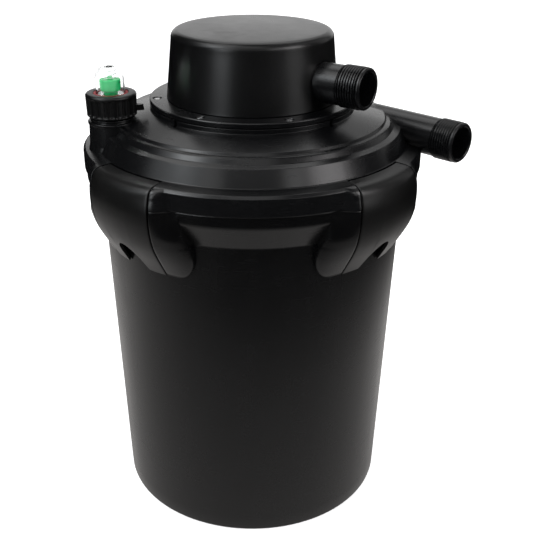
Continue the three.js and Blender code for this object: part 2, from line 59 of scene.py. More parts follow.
def set_camera():
    """From the front, 1.1 m from the object's middle and 26 degrees above."""
    data = bpy.data.cameras.new("camera")
    data.sensor_width = 36.0
    data.lens = 57.63
    data.shift_x = 0.0411
    data.clip_start = 0.05
    data.clip_end = 60.0
    camera = bpy.data.objects.new("camera", data)
    camera.location = (math.sin(CAMERA_AZIMUTH), -math.cos(CAMERA_AZIMUTH), 0.760)
    camera.rotation_euler = (math.radians(90 - 26.16), 0, CAMERA_AZIMUTH)
    scene.collection.objects.link(camera)
    scene.camera = camera


# ---------------------------------------------------------------- mesh helpers, in millimetres
def polar(r, azimuth, z):
    """A point at an azimuth counted from the front (-Y), positive towards +X."""
    turn = math.radians(azimuth)
    return (r * math.sin(turn), -r * math.cos(turn), z)


def make_object(name, points, faces):
    mesh = bpy.data.meshes.new(name)
    mesh.from_pydata([(x * MM, y * MM, z * MM) for x, y, z in points], [], faces)
    mesh.update()
    piece = bpy.data.objects.new(name, mesh)
    scene.collection.objects.link(piece)
    return piece


def skin(name, rows, closed=False):
    """A surface through rings of points, listed so that the outside faces out on the way up. A row of
    one point is a pole. With closed, the last row joins the first."""
    points, starts = [], []
    for row in rows:
        starts.append(len(points))
        points.extend(row)
    faces = []
    pairs = list(zip(range(len(rows) - 1), range(1, len(rows))))
    if closed:
        pairs.append((len(rows) - 1, 0))
    for low, high in pairs:
        count = max(len(rows[low]), len(rows[high]))
        for i in range(count):
            j = (i + 1) % count
            a, b = starts[low] + i, starts[low] + j
            c, d = starts[high] + j, starts[high] + i
            if len(rows[low]) == 1:
                faces.append((starts[low], c, d))
            elif len(rows[high]) == 1:
                faces.append((a, b, starts[high]))
            else:
                faces.append((a, b, c, d))
    return make_object(name, points, faces)


def rounded(corners, steps=5):
    """Points along an outline of (r, z, radius) corners, each corner with its fillet."""
    out = []
    for i, (r, z, radius) in enumerate(corners):
        if radius <= 0 or i in (0, len(corners) - 1):
            out.append((r, z))
            continue
        here = Vector((r, z))
        before = Vector(corners[i - 1][:2]) - here
        after = Vector(corners[i + 1][:2]) - here
        angle = before.angle(after)
        reach = min(radius / math.tan(angle / 2), before.length * 0.49, after.length * 0.49)
        start = here + before.normalized() * reach
        end = here + after.normalized() * reach
        for step in range(steps + 1):
            t = step / steps
            weight = 2 * t * (1 - t)
            bulge = weight * math.sin(angle / 2)
            point = (
                start * (1 - t) ** 2 + here * bulge + end * t**2
            ) / ((1 - t) ** 2 + bulge + t**2)
            out.append((point.x, point.y))
    return out


def ring(r, z, sides):
    if r < 1e-6:
        return [(0.0, 0.0, z)]
    return [polar(r, 360 * i / sides, z) for i in range(sides)]


def revolve(name, outline, sides=160, closed=True):
    """An outline of (r, z) points turned about Z."""
    return skin(name, [ring(r, z, sides) for r, z in outline], closed=closed)


def place(piece, matrix):
    piece.data.transform(matrix)
    return piece


def moved(x, y, z):
    return Matrix.Translation((x * MM, y * MM, z * MM))


def turned(azimuth):
    return Matrix.Rotation(math.radians(azimuth), 4, "Z")


LAID = Matrix.Rotation(math.radians(90), 4, "X")  # takes +Z to -Y, the front


def combine(piece, tools, operation):
    """Applies a boolean of the piece with each tool, and removes the tools."""
    for tool in tools:
        modifier = piece.modifiers.new("boolean", "BOOLEAN")
        modifier.operation = operation
        modifier.solver = "MANIFOLD"
        modifier.object = tool
    graph = bpy.context.evaluated_depsgraph_get()
    mesh = bpy.data.meshes.new_from_object(piece.evaluated_get(graph))
    piece.modifiers.clear()
    old = piece.data
    piece.data = mesh
    bpy.data.meshes.remove(old)
    for tool in tools:
        bpy.data.objects.remove(tool)
    return piece


def soften(piece, angle=32):
    """Smooth shading, sharp where faces meet at more than the angle."""
    mesh = piece.data
    mesh.shade_smooth()
    mesh.set_sharp_from_angle(angle=math.radians(angle))
    return piece


def cylinder(name, r, low, high, sides=64):
    return revolve(name, [(0, low), (r, low), (r, high), (0, high)], sides, closed=False)


def block(name, size, centre):
    low = [c - s / 2 for c, s in zip(centre, size)]
    high = [c + s / 2 for c, s in zip(centre, size)]
    points = [
        ((high if i & 1 else low)[0], (high if i & 2 else low)[1], (high if i & 4 else low)[2])
        for i in range(8)
    ]
    faces = [(0, 2, 3, 1), (4, 5, 7, 6), (0, 1, 5, 4), (2, 6, 7, 3), (0, 4, 6, 2), (1, 3, 7, 5)]
    return make_object(name, points, faces)


# ---------------------------------------------------------------- shape shared by tub, lid and latches
PODS = (-45.0, 45.0, 135.0, 225.0)
COVER_HALF = 12.98  # half the angle a latch cover spans
SEAM_HALF = 13.42  # where the horns start
HINGE_R = 185.0  # the latch pins' distance from the axis
HINGE_Z = 446.0
PIN_HOLE = 1.9
PARTING = 426.7

# Outer outline of a latch pod in (r, z), from its crease down to its lower edge.
POD_KNOTS = [
    (194.6, 449.2), (200.3, 446.7), (204.5, 441.7), (207.3, 434.0), (208.9, 425.0), (209.0, 416.0),
    (208.2, 406.0), (206.0, 394.0), (201.9, 382.0), (195.4, 370.0), (187.4, 357.5), (179.9, 346.0),
    (178.2, 343.4),
]


def spline(knots, per_span):
    """A Catmull-Rom curve through the knots."""
    out = []
    for i in range(len(knots) - 1):
        p1, p2 = Vector(knots[i]), Vector(knots[i + 1])
        p0 = Vector(knots[i - 1]) if i else p1 * 2 - p2
        p3 = Vector(knots[i + 2]) if i + 2 < len(knots) else p2 * 2 - p1
        for step in range(per_span):
            t = step / per_span
            out.append(
                0.5
                * (
                    2 * p1
                    + (p2 - p0) * t
                    + (2 * p0 - 5 * p1 + 4 * p2 - p3) * t**2
                    + (3 * p1 - p0 - 3 * p2 + p3) * t**3
                )
            )
    out.append(Vector(knots[-1]))
    return [(p.x, p.y) for p in out]


POD = spline(POD_KNOTS, 6)
CROWN = 2.3  # how far a pod falls away at its seams, in mm


def interpolate(table, x):
    """Linear, in a table of (x, y) with falling x."""
    if x >= table[0][0]:
        return table[0][1]
    for (x0, y0), (x1, y1) in zip(table, table[1:]):
        if x >= x1:
            return y0 + (y1 - y0) * (x - x0) / (x1 - x0)
    return table[-1][1]


POD_BY_HEIGHT = [(z, r) for r, z in POD]


def pod_radius(z, offset=0.0):
    """Radius of a pod at a height, that many degrees to the side of its middle, where it is fullest."""
    middle = interpolate(POD_BY_HEIGHT, z)
    share = min(max((middle - 178) / 28, 0), 1) * min(max((449.2 - z) / 12, 0), 1)
    return middle - CROWN * share * (offset / SEAM_HALF) ** 2


# How far round the lid's and the tub's horns reach from the pod's middle, by height, in degrees.
LID_REACH = [(449.2, 17.0), (440, 17.8), (PARTING, 18.8)]
TUB_REACH = [(PARTING, 22.0), (415, 21.6), (400, 22.6), (384, 24.0), (370, 24.6)]


def horn_reach(z):
    if z > PARTING:
        return interpolate(LID_REACH, z)
    if z >= 370:
        return interpolate(TUB_REACH, z)
    drop = min(max((370 - z) / 27.2, 0), 1)
    return 24.6 - 7.0 * (1 - math.sqrt(1 - drop**2.2))


def horn_swell(t, z):
    """Share of the pod's swelling left at t, from 0 at the seam to 1 at the horn's foot. Low down the
    horn has a full face and a steep side, and it fades softly into the rim above."""
    if z > PARTING:
        return 1 - t**2
    full = max(1 - t**3, 0) ** (1 / 3)
    soft = 1 - t * t * (3 - 2 * t)
    softness = min(max((z - 398) / 26, 0), 1)
    return full + (soft - full) * softness


def tip_share(z):
    """Rounds the horns' lower ends."""
    if z >= 347.5:
        return 1.0
    if z <= 342.6:
        return 0.0
    return math.sqrt(1 - ((347.5 - z) / 4.9) ** 2)


HORN_STEPS = [0, 0.012, 0.03, 0.08, 0.17, 0.28, 0.4, 0.52, 0.63]
HORN_STEPS += [0.73, 0.81, 0.87, 0.915, 0.95, 0.972, 0.988, 0.997, 1]  # closer together at the horn's foot
EDGE_DROP = [1.1, 0.32, 0.05]  # rounds the horn's edge at the seam
GAP_STEPS = [0.004, 0.015, 0.05] + [i / 16 for i in range(2, 15)] + [0.95, 0.985, 0.996]


def build_columns():
    """The columns of the tub's and lid's surfaces, going round: (kind, pod azimuth, side, value)."""
    columns = []
    for pod in PODS:
        for t in reversed(HORN_STEPS):
            columns.append(("horn", pod, -1, t))
        for i in range(13):
            columns.append(("bay", pod, 1, (i / 6 - 1) * (SEAM_HALF - 0.02)))
        for t in HORN_STEPS:
            columns.append(("horn", pod, 1, t))
        for share in GAP_STEPS:
            columns.append(("gap", pod, 1, share))
    return columns


COLUMNS = build_columns()


def column_azimuth(column, z):
    kind, pod, side, value = column
    reach = horn_reach(min(max(z, 343.0), 449.2))
    if kind == "bay":
        return pod + value
    if kind == "horn":
        return pod + side * (SEAM_HALF + value * (reach - SEAM_HALF))
    return pod + reach + value * (90 - 2 * reach)


def column_radius(column, r, z):
    """Radius of the outer skin at a column, where the plain body has radius r."""
    kind, _, _, t = column
    if kind != "horn" or z < 342.6:
        return r
    offset = column_azimuth(column, z) - column[1]
    swell = horn_swell(t, z) * tip_share(z)
    drop = 0.0
    for value, amount in zip(HORN_STEPS, EDGE_DROP):
        if t == value:
            drop = amount
    return r + max((pod_radius(z, offset) - drop - r) * swell, 0)


def outer_row(r, z):
    return [polar(column_radius(c, r, z), column_azimuth(c, z), z) for c in COLUMNS]


def plain_row(r, z, azimuth_z):
    return [polar(r, column_azimuth(c, azimuth_z), z) for c in COLUMNS]


# ---------------------------------------------------------------- tub
def tub_radius(z):
    """Outer radius of the tub without its horns."""
    if z <= 384:
        return 165.2 + 0.0319 * z
    if z < 386.5:
        return 177.45 + 0.22 * (z - 384) ** 2 / 5 + 0.0319 * (z - 384)
    if z < 413:
        return min(178.0 + (z - 386.5) * 0.582, 194.0)
    return min(193.42 + (z - 413) * 0.25, 194.0)


def make_tub():
    rows = [[(0.0, 0.0, 0.0)]]
    base = [(80, 0), (150, 0), (160.2, 0), (163.2, 0.5), (164.7, 1.6), (165.2, 3.2)]
    rows += [plain_row(r, z, 343) for r, z in base]
    heights = [20, 60, 110, 160, 210, 260, 300, 325, 338, 342.6]
    heights += [342.75, 343.0, 343.4, 344, 344.8, 345.8, 347, 349]
    heights += [352, 356, 360, 364, 368, 372, 376, 380, 383.9]
    heights += [384.4, 385.2, 386, 386.6, 389, 392, 396, 400, 404, 408, 411]
    heights += [413, 414, 415, 416, 418, 420.5, 423, 425, 425.7]
    rows += [outer_row(tub_radius(z), z) for z in heights]
    top = 426.4
    rows.append([polar(column_radius(c, 194.0, top) - 0.25, column_azimuth(c, top), 426.2) for c in COLUMNS])
    rows.append([polar(column_radius(c, 194.0, top) - 0.75, column_azimuth(c, top), top) for c in COLUMNS])
    inner = [(191.0, top), (174.2, top), (173.3, 425.6), (173.2, 415), (173.2, 386), (172.8, 380)]
    inner += [(167, 200), (161.4, 14), (160, 8), (157, 5.4), (152, 4.6), (80, 4.5)]
    rows += [plain_row(r, z, min(max(z, 343), 426)) for r, z in inner]
    rows.append([(0.0, 0.0, 4.5)])
    return soften(skin("tub_shell", rows), 40)


# ---------------------------------------------------------------- lid
RECESS_R = 179.7
LID_LOW = 427.0


def lid_outside():
    """Outer skin of the skirt and shelf: (r, z) up the band, over its chamfer and in to the wall's foot."""
    corners = [
        (192.0, 442.0, 0), (192.0, LID_LOW, 0.3), (196.0, LID_LOW, 0.5), (196.0, 446.3, 0.7),
        (193.3, 449.2, 0.5),
        (180.6, 450.8, 0),
    ]
    outline = rounded(corners, 3)
    dense = [outline[0]]
    for (r0, z0), (r1, z1) in zip(outline, outline[1:]):
        parts = max(1, round(math.hypot(r1 - r0, z1 - z0) / 1.3))
        for i in range(1, parts + 1):
            dense.append((r0 + (r1 - r0) * i / parts, z0 + (z1 - z0) * i / parts))
    return dense


def lid_row(r, z, share):
    """A row of the skirt and shelf; at the latch bays it lies on the bay's back wall instead."""
    row = []
    for column in COLUMNS:
        azimuth = column_azimuth(column, max(z, LID_LOW))
        if column[0] == "bay":
            row.append(polar(RECESS_R, azimuth, 442.0 + share * (450.8 - 442.0)))
        elif r >= 192.5 and z < 449.1:
            row.append(polar(column_radius(column, r, z), azimuth, z))
        else:
            row.append(polar(r, azimuth, z))
    return row


def make_outlet():
    """Outlet nozzle, turned about Z; the caller lays it down."""
    return nozzle("outlet", 84, 206.5)


THREAD = {"pipe": 21.6, "root": 20.6, "crest": 22.9, "bore": 18.2, "pitch": 3.1, "turns": 7.5, "lip": 4.4}


def nozzle(name, start, length, sides=120):
    """A pipe with a real helical thread up to a plain, chamfered lip."""
    t = THREAD
    thread_low = length - t["lip"] - t["pitch"] * t["turns"]
    thread_high = length - t["lip"]
    rows = [ring(t["bore"], start, sides), ring(t["pipe"], start, sides)]
    for i in range(1, 9):
        rows.append(ring(t["pipe"], start + (thread_low - 1.5 - start) * i / 8, sides))
    steps = round((thread_high - thread_low + 1) / 0.26)
    for i in range(steps + 1):
        z = thread_low - 1 + (thread_high - thread_low + 1) * i / steps
        row = []
        for j in range(sides):
            azimuth = 360 * j / sides
            phase = ((z - thread_low) / t["pitch"] - azimuth / 360) % 1.0
            crest = min(max(2.7 - abs(phase - 0.5) * 7.0, 0.0), 1.0)
            fade = min(max((z - thread_low + 0.6) / 1.2, 0), 1) * min(max((thread_high - z) / 1.0, 0), 1)
            row.append(polar(t["root"] + (t["crest"] - t["root"]) * crest * fade, azimuth, z))
        rows.append(row)
    lip = rounded(
        [
            (t["root"], thread_high, 0), (t["root"] - 0.2, thread_high + 0.5, 0.3),
            (t["crest"] - 0.3, thread_high + 0.9, 0.4),
            (t["crest"] - 0.4, length - 1.6, 0.6), (t["crest"] - 1.7, length, 0.4),
            (t["bore"] + 0.5, length, 0.3),
            (t["bore"], length - 0.5, 0),
        ],
        3,
    )
    rows += [ring(r, z, sides) for r, z in lip[1:]]
    rows.append(ring(t["bore"], length - 8, sides))
    return skin(name, rows, closed=True)


OUTLET_PLACE = turned(45) @ moved(121, 0, 460) @ LAID
INLET_PLACE = turned(54) @ moved(0, 0, 527.5) @ LAID
INDICATOR = (-157.0, -36.0)
HEAD_SCREWS = [20 + 360 * k / 7 for k in range(7)]
SCREW_CIRCLE = 109  # radius


def make_boss():
    """Indicator boss with its threaded neck."""
    corners = [
        (0, 449.3, 0), (28.6, 449.3, 0), (27.0, 456, 3), (26.2, 478.6, 0), (27.2, 479.2, 0.4),
        (27.4, 481.6, 0.5), (26.4, 482.4, 0),
        (24.2, 482.6, 0.3), (24.0, 484.2, 0.3), (25.4, 484.6, 0.4), (25.4, 485.9, 0.4),
        (23.8, 486.4, 0.4), (21.0, 486.6, 0),
    ]
    outline = rounded(corners, 4)
    for k in range(4):
        z = 488.2 + 3.4 * k
        outline += [(20.2, z), (21.0, z + 0.9), (21.0, z + 1.7), (20.2, z + 2.6)]
    outline += [(20.2, 503.0), (0, 503.0)]
    piece = revolve("boss", outline, 96, closed=False)
    return place(piece, moved(*INDICATOR, 0))


def make_lid():
    outside = lid_outside()
    total = len(outside) - 1
    rows = [lid_row(r, z, i / total) for i, (r, z) in enumerate(outside)]
    corners = [
        (180.6, 450.8, 0), (179.1, 451.2, 1.6), (170.4, 468.7, 0.9), (162.6, 470.4, 2.0),
        (158.6, 476.4, 4.0),
        (154.2, 476.9, 1.2), (152.2, 479.7, 1.4), (118.4, 487.9, 0.6), (117.6, 488.4, 0.3),
        (117.6, 493.1, 0.4), (117.2, 493.4, 0.1),
        (90.0, 493.4, 0.2), (89.9, 491.0, 0.1), (84.0, 491.0, 0.1), (84.0, 493.4, 0.2),
        (62.4, 493.4, 0.3), (62.0, 487.6, 0.5),
        (112, 483.6, 6), (150, 474.8, 5), (166.0, 465.6, 4), (168.4, 446, 4), (168.5, 411.3, 0.4),
        (172.4, 411.0, 0.4),
        (172.7, 415.8, 0.1), (169.6, 416.0, 0.1), (169.6, 420.2, 0.1), (172.7, 420.4, 0.1),
        (172.7, LID_LOW, 0.1),
        (176.4, LID_LOW, 0.3), (176.5, 441.8, 0.8), (192.0, 442.0, 0),
    ]
    for r, z in rounded(corners, 4)[1:-1]:
        rows.append(plain_row(r, z, 449.2))
    lid = skin("lid_shell", rows, closed=True)
    pipe = place(make_outlet(), OUTLET_PLACE)
    bore = place(cylinder("bore", THREAD["bore"] - 0.02, 50, 150), OUTLET_PLACE)
    tools = [place(cylinder("port", 5, 430, 510, 24), moved(*INDICATOR, 0)), bore]
    for azimuth in PODS:
        pin_place = turned(azimuth) @ moved(0, -HINGE_R, HINGE_Z) @ ACROSS
        tools.append(place(cylinder("hole", PIN_HOLE, -52.5, 52.5, 24), pin_place))
        tools.append(place(block("notch", (4.2, 6, 9), (0, -118, 490.4)), turned(azimuth)))
    for azimuth in HEAD_SCREWS:
        tools.append(place(cylinder("hole", 2.3, 480, 500, 20), turned(azimuth) @ moved(0, -SCREW_CIRCLE, 0)))
    combine(lid, [make_boss(), pipe], "UNION")
    combine(lid, tools, "DIFFERENCE")
    return soften(lid, 34)


ACROSS = Matrix.Rotation(math.radians(90), 4, "Y")  # takes +Z to +X


# ---------------------------------------------------------------- latch covers
def notch_height(sideways):
    """Lower edge of a cover, with the round finger notch at its middle."""
    half, height = 18.5, 33.0
    return 343.4 + height * math.sqrt(max(1 - (sideways / half) ** 2, 0))


def make_cover(number, azimuth):
    wall = 3.2
    top_plate = [(188.5, 449.85), (182.0, 450.45)]
    offsets = [COVER_HALF * (i / 14 - 1) for i in range(29)]
    edge = [COVER_HALF - 0.03, COVER_HALF - 0.12, COVER_HALF - 0.3]
    middle = [o for o in offsets if abs(o) < COVER_HALF - 0.35]
    offsets = sorted(set(middle + edge + [-e for e in edge] + [COVER_HALF, -COVER_HALF]))
    columns = []
    edge_insets = {0: 1.0, 1: 0.55, 2: 0.2, 3: 0.03}  # rounds the cover's edge, by column from the side
    for offset in offsets:
        order = offsets.index(offset)
        inset = edge_insets.get(min(order, len(offsets) - 1 - order), 0)
        start = notch_height(200 * math.radians(offset))
        outer = []
        for i in range(46):
            share = (i / 45) ** 0.9
            z = start + (449.2 - start) * share
            outer.append((pod_radius(z, offset) - inset, z))
        crease = (194.9 - inset * 0.3, 449.15 - inset * 0.5)
        outer = outer[:-1] + [crease] + [(r, z - inset * 0.6) for r, z in top_plate]
        inner = []
        for i, (r, z) in enumerate(outer):
            r0, z0 = outer[max(i - 1, 0)]
            r1, z1 = outer[min(i + 1, len(outer) - 1)]
            length = math.hypot(r1 - r0, z1 - z0)
            thick = wall - inset
            inner.append((r - (z1 - z0) * thick / length, z + (r1 - r0) * thick / length))
        first = inner[0]
        inner[0] = (max(first[0], tub_radius(first[1]) + 0.5), first[1])
        loop = outer + inner[::-1]
        columns.append([polar(r, offset, z) for r, z in loop])
    count = len(columns[0])
    points = [p for column in columns for p in column]
    faces = []
    for c in range(len(columns) - 1):
        for i in range(count):
            j = (i + 1) % count
            a, b = c * count + i, c * count + j
            faces.append((a, a + count, b + count, b))
    half = count // 2
    last = (len(columns) - 1) * count
    for i in range(half - 1):
        near, far = count - 1 - i, count - 2 - i
        faces.append((i, i + 1, far, near))
        faces.append((last + i, last + near, last + far, last + i + 1))
    cover = make_object(f"latch_shell_{number}", points, faces)
    hook_outline = [(186, 394), (200.5, 391), (202.5, 401), (202.5, 409), (192.8, 411.5), (186, 399.5)]
    hook = sector("hook", hook_outline, 10.9)
    pin_place = moved(0, -HINGE_R, HINGE_Z) @ ACROSS
    knuckle = place(cylinder("knuckle", 3.9, -40.4, 40.4, 40), pin_place)
    combine(cover, [hook, knuckle], "UNION")
    combine(cover, [place(cylinder("hole", PIN_HOLE, -50, 50, 24), pin_place)], "DIFFERENCE")
    place(cover, turned(azimuth))
    return soften(cover, 36)


def sector(name, outline, half, steps=16):
    """Part of a turned ring, between two azimuths either side of the front."""
    count = len(outline)
    points, faces = [], []
    for s in range(steps + 1):
        points += [polar(r, half * (2 * s / steps - 1), z) for r, z in outline]
    for s in range(steps):
        for i in range(count):
            a, b = s * count + i, s * count + (i + 1) % count
            faces.append((a, a + count, b + count, b))
    faces.append(tuple(range(count)))
    faces.append(tuple(reversed(range(steps * count, (steps + 1) * count))))
    return make_object(name, points, faces)


# ---------------------------------------------------------------- lamp head
def make_head_body():
    corners = [
        (33.0, 450.0, 0), (33.0, 494.0, 1.0), (116.9, 494.0, 0.5), (117.7, 494.8, 0.5),
        (117.7, 499.0, 0.8), (116.8, 500.0, 0.5),
        (44.0, 500.0, 1.0), (44.0, 556.0, 1.0), (12.3, 556.0, 0.3), (12.3, 552.0, 0.3),
        (40.0, 552.0, 1), (40.0, 500.5, 1.0),
        (29.0, 494.5, 1.0), (29.0, 450.0, 0),
    ]
    body = revolve("head_shell", rounded(corners, 4), 192)
    pipe = place(nozzle("inlet", 42, 148.5), INLET_PLACE)
    tools = [place(cylinder("bore", THREAD["bore"] - 0.02, 32, 120), INLET_PLACE)]
    for azimuth in HEAD_SCREWS:
        spot = turned(azimuth) @ moved(0, -SCREW_CIRCLE, 0)
        tools.append(place(cylinder("hole", 2.3, 490, 510, 20), spot))
        outline = [(0, 497.5), (5.0, 497.5), (5.0, 499.3), (6.0, 500.6), (6.0, 503), (0, 503)]
        tools.append(place(revolve("counterbore", outline, 40, closed=False), spot))
    combine(body, [pipe], "UNION")
    combine(body, tools, "DIFFERENCE")
    return soften(body, 30)


def make_dome():
    corners = [
        (0, 571.6, 0), (81.5, 571.6, 5.5), (87.6, 565.0, 4), (94.3, 500.4, 0.2), (98.0, 500.4, 0.3),
    ]
    outline = rounded(corners, 4)[:-1] + dome_skin()
    dome = revolve("dome_shell", outline, 192, closed=False)
    arch = []
    for i in range(49):
        turn = math.radians(180 * i / 48)
        arch.append((24.0 * math.cos(turn), 527.5 + 24.0 * math.sin(turn)))
    arch = [(24.0, 495.0)] + arch + [(-24.0, 495.0)]
    count = len(arch)
    points = [(x, -55.0, z) for x, z in arch] + [(x, -125.0, z) for x, z in arch]
    faces = [(i, i + count, (i + 1) % count + count, (i + 1) % count) for i in range(count)]
    faces.append(tuple(range(count)))
    faces.append(tuple(reversed(range(count, 2 * count))))
    cutter = place(make_object("arch", points, faces), turned(54))
    gland = place(cylinder("gland_hole", 6.3, -12, 12, 32), GLAND_PLACE)
    combine(dome, [cutter, gland], "DIFFERENCE")
    return soften(dome, 30)


def dome_skin():
    """Outer outline of the dome, from its foot up over the rounded shoulder to the slightly crowned top."""
    out = [(94.6, 500.4), (97.6, 500.4), (98.0, 500.8)]
    for i in range(1, 12):
        z = 500.8 + (566.0 - 500.8) * i / 11
        out.append((98.0 - 0.103 * (z - 500.4), z))
    centre_r, centre_z, radius = 82.6, 566.6, 8.7
    for i in range(1, 13):
        turn = math.radians(4 + 83.0 * i / 12)
        out.append((centre_r + radius * math.cos(turn), centre_z + radius * math.sin(turn)))
    for i in range(1, 9):
        r = 82.6 * (1 - i / 9)
        out.append((r, 576.0 - 0.72 * (r / 82.6) ** 2))
    out.append((0, 576.0))
    return out


GLAND_PLACE = turned(234) @ moved(0, -95, 514) @ LAID


def make_screw(number, azimuth):
    corners = [
        (0, 486.5, 0), (1.9, 486.5, 0.3), (2.0, 497.8, 0.1), (4.4, 497.8, 0.3), (4.5, 498.4, 0.3),
        (2.6, 499.7, 2.5), (0, 499.9, 0),
    ]
    screw = revolve(f"head_screw_body_{number}", rounded(corners, 4), 40, closed=False)
    tools = [block("slot", (4.6, 1.0, 3), (0, 0, 500.2)), block("slot", (1.0, 4.6, 3), (0, 0, 500.2))]
    for tool in tools:
        place(tool, turned(17 * number))
    combine(screw, tools, "DIFFERENCE")
    place(screw, turned(azimuth) @ moved(0, -SCREW_CIRCLE, 0))
    return soften(screw, 35)


# ---------------------------------------------------------------- indicator
def nut_radius(azimuth, z):
    """Ribbed outside of the indicator's nut."""
    taper = 28.35 - 0.028 * (513 - z)
    rib = abs(((azimuth / 360 * 24) % 1.0) - 0.5) * 2
    groove = max(0.0, 1 - (rib / 0.68) ** 2) ** 0.5 if rib < 0.68 else 0.0
    window = min(max((509.4 - z) / 1.6, 0), 1) * min(max((z - 489.6) / 1.2, 0), 1)
    return taper - 2.3 * groove * window


def make_nut():
    sides = 240
    rows = [ring(21.9, 488.4, sides), ring(22.3, 488.0, sides), ring(27.0, 488.0, sides)]
    for i in range(31):
        z = 488.6 + (509.6 - 488.6) * i / 30
        rows.append([polar(nut_radius(360 * j / sides, z), 360 * j / sides, z) for j in range(sides)])
    top = [(28.3, 510.6), (28.1, 511.2), (27.2, 512.4), (26.4, 512.85), (25.6, 513.0)]
    top += [(20.0, 513.0), (19.7, 512.7), (19.7, 507.3), (19.9, 507.0), (21.9, 507.0)]
    rows += [ring(r, z, sides) for r, z in top]
    nut = skin("indicator_nut_shell", rows, closed=True)
    lug_outline = [(24, -3.6), (30, -3.4), (35.2, -1.8), (36.0, 0), (35.2, 1.8), (30, 3.4), (24, 3.6)]
    points = [(x, y, 492.8) for x, y in lug_outline]
    points += [(x - (0.8 if x > 30 else 0), y * 0.92, 499.2) for x, y in lug_outline]
    count = len(lug_outline)
    faces = [(i, (i + 1) % count, (i + 1) % count + count, i + count) for i in range(count)]
    faces.append(tuple(reversed(range(count))))
    faces.append(tuple(range(count, 2 * count)))
    combine(nut, [make_object("lug", points, faces)], "UNION")
    place(nut, moved(*INDICATOR, 0))
    return soften(nut, 40)


def make_cap():
    corners = [
        (14.3, 503.4, 0), (20.8, 503.4, 0.3), (21.0, 506.5, 0.4), (17.3, 506.6, 1.0), (16.5, 512, 2),
        (16.4, 534.0, 6.5), (12.0, 540.6, 6.5),
        (5.2, 541.0, 1.5), (4.6, 540.4, 0.5), (3.4, 540.5, 0.5), (2.6, 541.9, 0.8), (0, 542.1, 0),
    ]
    inner = [(0, 538.9, 0), (9.4, 538.6, 4.5), (14.3, 533.0, 4.5), (14.4, 512, 1), (14.3, 503.6, 0)]
    cap = revolve("indicator_cap_shell", rounded(corners, 5) + rounded(inner, 5)[:-1], 96, closed=False)
    bm = bmesh.new()
    bm.from_mesh(cap.data)
    bmesh.ops.holes_fill(bm, edges=[e for e in bm.edges if e.is_boundary], sides=0)
    bm.to_mesh(cap.data)
    bm.free()
    place(cap, moved(*INDICATOR, 0))
    return soften(cap, 50)


def make_float():
    corners = [
        (0, 503.8, 0), (7.8, 503.8, 0.6), (8.0, 514.2, 1.5), (11.0, 515.4, 1.0), (11.5, 517.0, 0.6),
        (11.5, 526.8, 1.0), (10.6, 528.0, 0.7),
        (8.8, 528.0, 0.4), (8.4, 527.0, 0.5), (3.2, 526.8, 0.5), (2.8, 531.0, 0.6), (1.6, 531.6, 0.6),
        (0, 531.6, 0),
    ]
    piece = revolve("float_body", rounded(corners, 4), 64, closed=False)
    place(piece, moved(*INDICATOR, 0))
    return soften(piece, 40)


def make_spring():
    """A coil of round wire with flat-lying ends, as tall as its CAD node."""
    (_, _, z0), (_, _, z1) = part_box("indicator_spring")
    radius, wire, turns, steps, sides = 7.4, 0.42, 3.5, 300, 10
    low, high = z0 / MM + wire, z1 / MM - wire
    points, faces = [], []
    for i in range(steps + 1):
        t = i / steps
        turn = t * turns * 2 * math.pi
        z = low + (high - low) * (t - 0.1 * math.sin(2 * math.pi * t))
        out = Vector((math.cos(turn), math.sin(turn), 0))
        for j in range(sides):
            a = 2 * math.pi * j / sides
            p = out * (radius + wire * math.cos(a)) + Vector((0, 0, z + wire * math.sin(a)))
            points.append(tuple(p))
    for i in range(steps):
        for j in range(sides):
            k = (j + 1) % sides
            faces.append((i * sides + j, (i + 1) * sides + j, (i + 1) * sides + k, i * sides + k))
    faces.append(tuple(range(sides)))
    faces.append(tuple(reversed(range(steps * sides, (steps + 1) * sides))))
    spring = place(make_object("spring_coil", points, faces), moved(*INDICATOR, 0))
    return soften(spring, 60)


# ---------------------------------------------------------------- inside pieces
def make_foam(number, node):
    """A foam ring with softly rounded edges and a slightly wavy cut face."""
    (x0, _, z0), (x1, _, z1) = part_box(node)
    outer, low, high = (x1 - x0) / 2 / MM, z0 / MM, z1 / MM
    sides = 144
    outline = rounded(
        [
            (38.4, low + 1, 0), (40, low + 0.4, 1), (outer - 0.6, low + 0.4, 3),
            (outer - 0.4, (low + high) / 2, 60), (outer - 0.6, high - 0.4, 3),
            (40, high - 0.4, 1), (38.4, high - 1, 0),
        ],
        5,
    )
    rows = []
    for r, z in outline:
        row = []
        for j in range(sides):
            azimuth = 360 * j / sides
            wave = 0.25 * math.sin(math.radians(azimuth * 11 + z * 9))
            wave += 0.2 * math.sin(math.radians(azimuth * 23 - z * 17))
            row.append(polar(r + (wave - 0.45 if r > 60 else 0), azimuth, z))
        rows.append(row)
    return soften(skin(f"foam_ring_{number}", rows, closed=True), 60)


